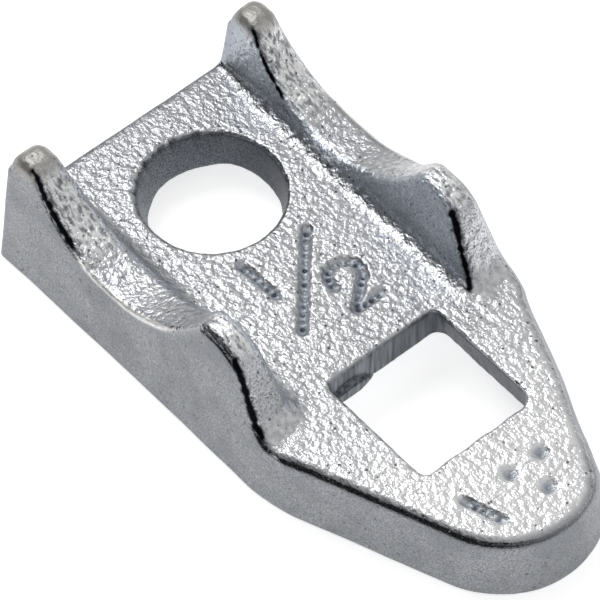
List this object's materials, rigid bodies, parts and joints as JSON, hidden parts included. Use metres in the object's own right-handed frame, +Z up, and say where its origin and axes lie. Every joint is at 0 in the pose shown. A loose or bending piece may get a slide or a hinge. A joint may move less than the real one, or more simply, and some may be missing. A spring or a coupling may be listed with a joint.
{
  "type": "conduit clamp back",
  "caption": "Cast clamp back that holds conduit off a wall: a round seat between horned ribs, a round hole, and a square hole for the strap's carriage bolt.",
  "frame": {"origin": "middle of the mounting face, at the centre of its length and width", "axes": "+X towards the rounded nose, +Y across to one rib, +Z up from the mounting face towards the conduit"},
  "size_m": [0.0496, 0.026, 0.012],
  "materials": {
    "zinc_plated_iron": "bright zinc plating over a pebbled sand-cast surface"
  },
  "bodies": {
    "root": {"clamp_back": "zinc_plated_iron"}
  },
  "joints": []
}
